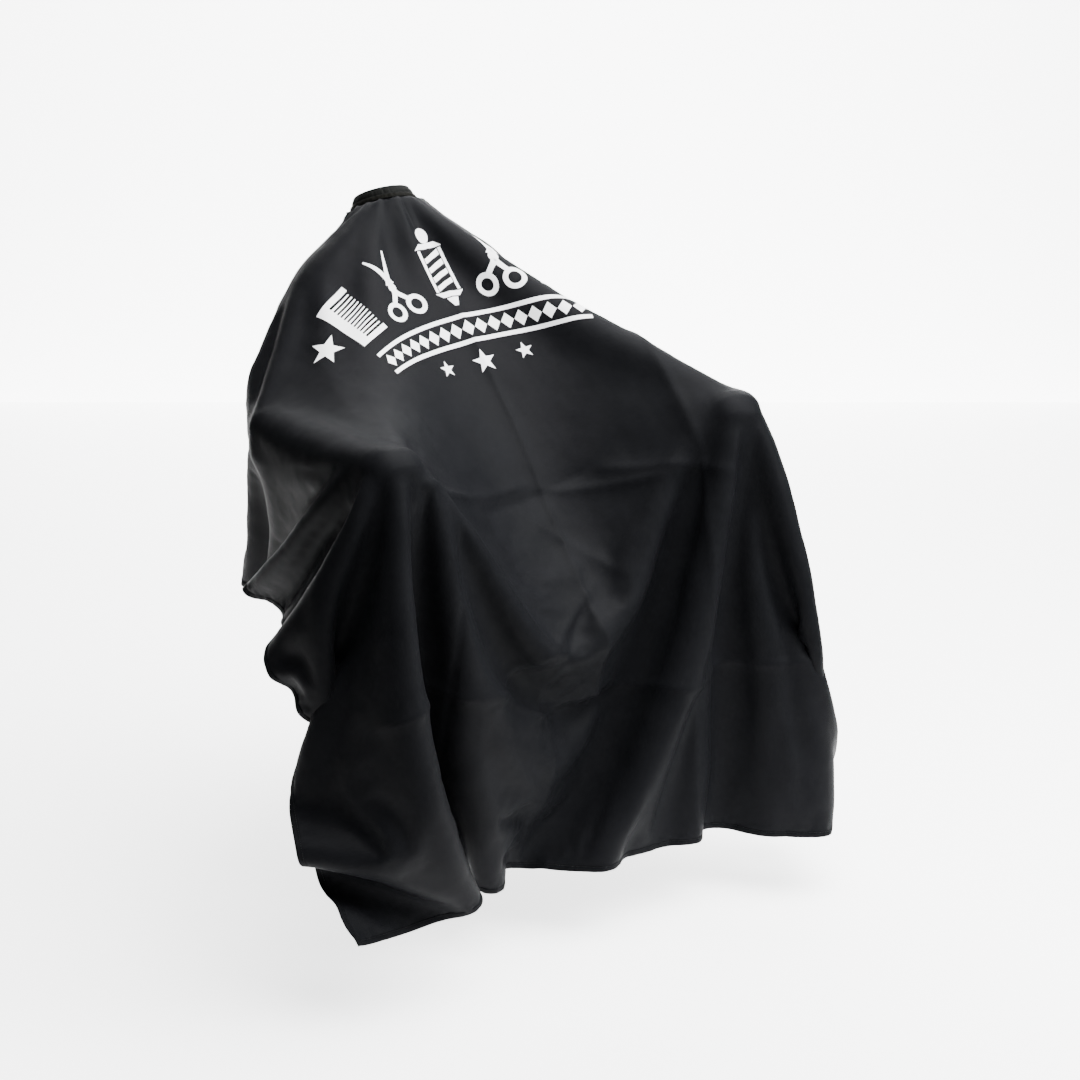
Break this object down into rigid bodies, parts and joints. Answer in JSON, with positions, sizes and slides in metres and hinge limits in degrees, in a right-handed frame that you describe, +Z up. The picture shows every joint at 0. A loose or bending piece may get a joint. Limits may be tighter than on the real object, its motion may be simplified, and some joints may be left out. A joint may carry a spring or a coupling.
{
  "type": "barber cape",
  "caption": "Draped cloth cape with a stitched neck band, back opening, snap closure tab, turned hem and care label, hanging over a seat.",
  "frame": {"origin": "centre of the neck opening, at the seam where the collar joins the panel", "axes": "+Z up, -Y to the wearer's front, +X to the wearer's left, as the cape hangs over a seated wearer or a chair"},
  "size_m": [0.9138, 0.7718, 0.9631],
  "materials": {
    "cape_cloth": "black lightweight woven polyester, satin-matte",
    "hem_cloth": "black woven polyester turned and stitched, slightly puckered",
    "collar_cloth": "charcoal woven polyester, matte",
    "lining_cloth": "dark grey soft brushed lining",
    "interlining": "pale grey bonded non-woven stiffener",
    "tape": "dark olive-grey grosgrain seam tape",
    "thread": "black polyester sewing thread",
    "print_ink": "white screen-printed ink, matte",
    "snap_enamel": "black enamelled snap cap, semi-gloss",
    "snap_metal": "nickel-plated pressed brass, polished",
    "spring_wire": "bright spring wire",
    "label_tape": "white satin ribbon, blank"
  },
  "bodies": {
    "cape": {"cape_panel": "cape_cloth", "hem_front": "hem_cloth", "hem_side_left": "hem_cloth", "hem_side_right": "hem_cloth", "hem_back_left": "hem_cloth", "hem_back_right": "hem_cloth", "opening_facing_left": "hem_cloth", "opening_facing_right": "hem_cloth", "collar_band": "collar_cloth", "collar_interlining": "interlining", "collar_lining": "lining_cloth", "neck_seam_tape": "tape", "snap_studs": "snap_metal", "snap_backings": "snap_metal"},
    "tab": {"tab_cloth": "collar_cloth", "tab_interlining": "interlining", "tab_lining": "lining_cloth", "snap_cap": "snap_enamel", "snap_socket": "snap_metal", "snap_spring": "spring_wire"},
    "label": {"care_label": "label_tape"}
  },
  "joints": [
    {"name": "collar_tab", "type": "hinge", "parent": "cape", "child": "tab", "pos_m": [-0.0099, 0.0568, 0], "axis": [0, 0.342, 0.9397], "range_deg": [0, 80]},
    {"name": "label_hang", "type": "hinge", "parent": "cape", "child": "label", "pos_m": [0.016, 0.0403, -0.0205], "axis": [1, 0, 0], "range_deg": [-10, 70]}
  ]
}
